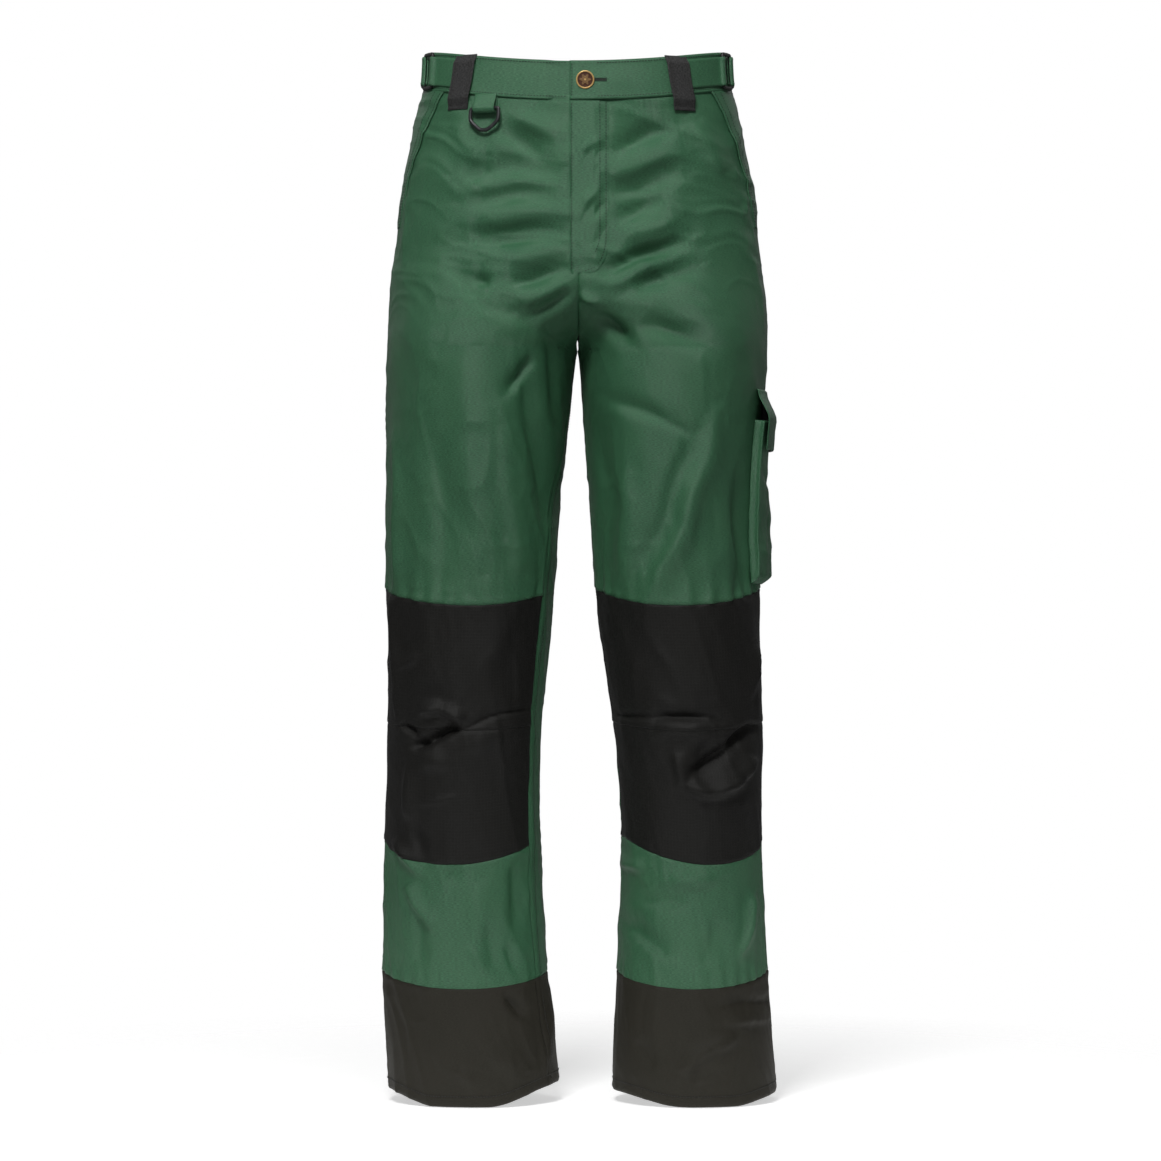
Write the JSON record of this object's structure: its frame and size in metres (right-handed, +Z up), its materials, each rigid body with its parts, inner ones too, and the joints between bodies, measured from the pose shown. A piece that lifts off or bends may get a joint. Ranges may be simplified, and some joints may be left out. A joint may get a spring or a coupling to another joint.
{
  "type": "waterproof work trousers",
  "caption": "Waist-high waterproof work trousers with dark knee and hem panels, side adjusters, zip fly, waist button, ring tab and a bellows thigh pocket.",
  "frame": {"origin": "on the floor the hems rest on, under the middle of the waist, on the centre plane between the legs", "axes": "+Z up, -Y towards the front where the fly is, +X towards the wearer's left"},
  "size_m": [0.4073, 0.2441, 1.0843],
  "materials": {
    "green_cloth": "coated twill, satin sheen",
    "black_patch": "ripstop weave, matt",
    "charcoal_hem": "coarse coated weave, matt",
    "loop_web": "coarse woven webbing, matt",
    "dark_lining": "smooth lining, matt",
    "gunmetal": "dark gunmetal, semi-gloss",
    "black_plastic": "moulded, semi-matt",
    "zip_tape": "woven tape with moulded coil, matt",
    "old_brass": "aged brass, worn bright rim"
  },
  "bodies": {
    "trousers": {"front_left": "green_cloth", "front_right": "green_cloth", "back_left": "green_cloth", "back_right": "green_cloth", "calf_front_left": "green_cloth", "calf_front_right": "green_cloth", "waistband_left": "green_cloth", "waistband_right": "green_cloth", "waistband_back": "green_cloth", "adjuster_tab_left": "green_cloth", "adjuster_tab_right": "green_cloth", "adjuster_strap_left": "green_cloth", "adjuster_strap_right": "green_cloth", "d_ring_tab": "green_cloth", "hip_pocket_flap_left": "green_cloth", "hip_pocket_flap_right": "green_cloth", "cargo_pocket_bag": "green_cloth", "knee_upper_left": "black_patch", "knee_upper_right": "black_patch", "knee_lower_left": "black_patch", "knee_lower_right": "black_patch", "hem_front_left": "charcoal_hem", "hem_front_right": "charcoal_hem", "hem_back_left": "charcoal_hem", "hem_back_right": "charcoal_hem", "belt_loop_front_left": "loop_web", "belt_loop_front_right": "loop_web", "belt_loop_back_left": "loop_web", "belt_loop_back_right": "loop_web", "belt_loop_back_centre": "loop_web", "hip_pocket_bag_left": "dark_lining", "hip_pocket_bag_right": "dark_lining", "fly_shield": "dark_lining", "zip_bottom_stop": "gunmetal", "adjuster_ring_left": "black_plastic", "adjuster_ring_right": "black_plastic", "zip_tape_left": "zip_tape", "zip_tape_right": "zip_tape", "zip_chain": "zip_tape", "cargo_hook_tape": "zip_tape", "waist_button_tack": "old_brass"},
    "d_ring": {"d_ring": "gunmetal"},
    "button": {"waist_button_head": "old_brass"},
    "fly": {"fly_placket": "green_cloth"},
    "zip_slider": {"zip_slider": "gunmetal", "zip_slider_back": "gunmetal", "zip_pull": "gunmetal"},
    "strap_end_left": {"adjuster_tail_left": "green_cloth"},
    "strap_end_right": {"adjuster_tail_right": "green_cloth"},
    "cargo_flap": {"cargo_pocket_flap": "green_cloth", "cargo_loop_tape": "zip_tape"}
  },
  "joints": [
    {"name": "d_ring_swing", "type": "hinge", "parent": "trousers", "child": "d_ring", "pos_m": [-0.09398, -0.08987, 1.01467], "axis": [-0.9198, 0.3924, 0], "range_deg": [-4, 100]},
    {"name": "button_turn", "type": "hinge", "parent": "trousers", "child": "button", "pos_m": [0.0077, -0.10088, 1.042], "axis": [0, -1, 0], "continuous": true},
    {"name": "fly_open", "type": "hinge", "parent": "trousers", "child": "fly", "pos_m": [0.032, -0.10091, 1.02184], "axis": [0, 0.0814, 0.9967], "range_deg": [0, 100]},
    {"name": "zip_run", "type": "slide", "parent": "trousers", "child": "zip_slider", "axis": [0, -0.0712, -0.9975], "range_m": [0, 0.12]},
    {"name": "strap_left_peel", "type": "hinge", "parent": "trousers", "child": "strap_end_left", "pos_m": [0.15872, -0.02479, 1.05947], "axis": [0, 0, -1], "range_deg": [0, 100]},
    {"name": "strap_right_peel", "type": "hinge", "parent": "trousers", "child": "strap_end_right", "pos_m": [-0.15872, -0.02479, 1.05947], "axis": [0, 0, 1], "range_deg": [0, 100]},
    {"name": "cargo_flap_lift", "type": "hinge", "parent": "trousers", "child": "cargo_flap", "pos_m": [0.19378, 0.02011, 0.73083], "axis": [0.1144, -0.9934, 0], "range_deg": [0, 110]}
  ]
}
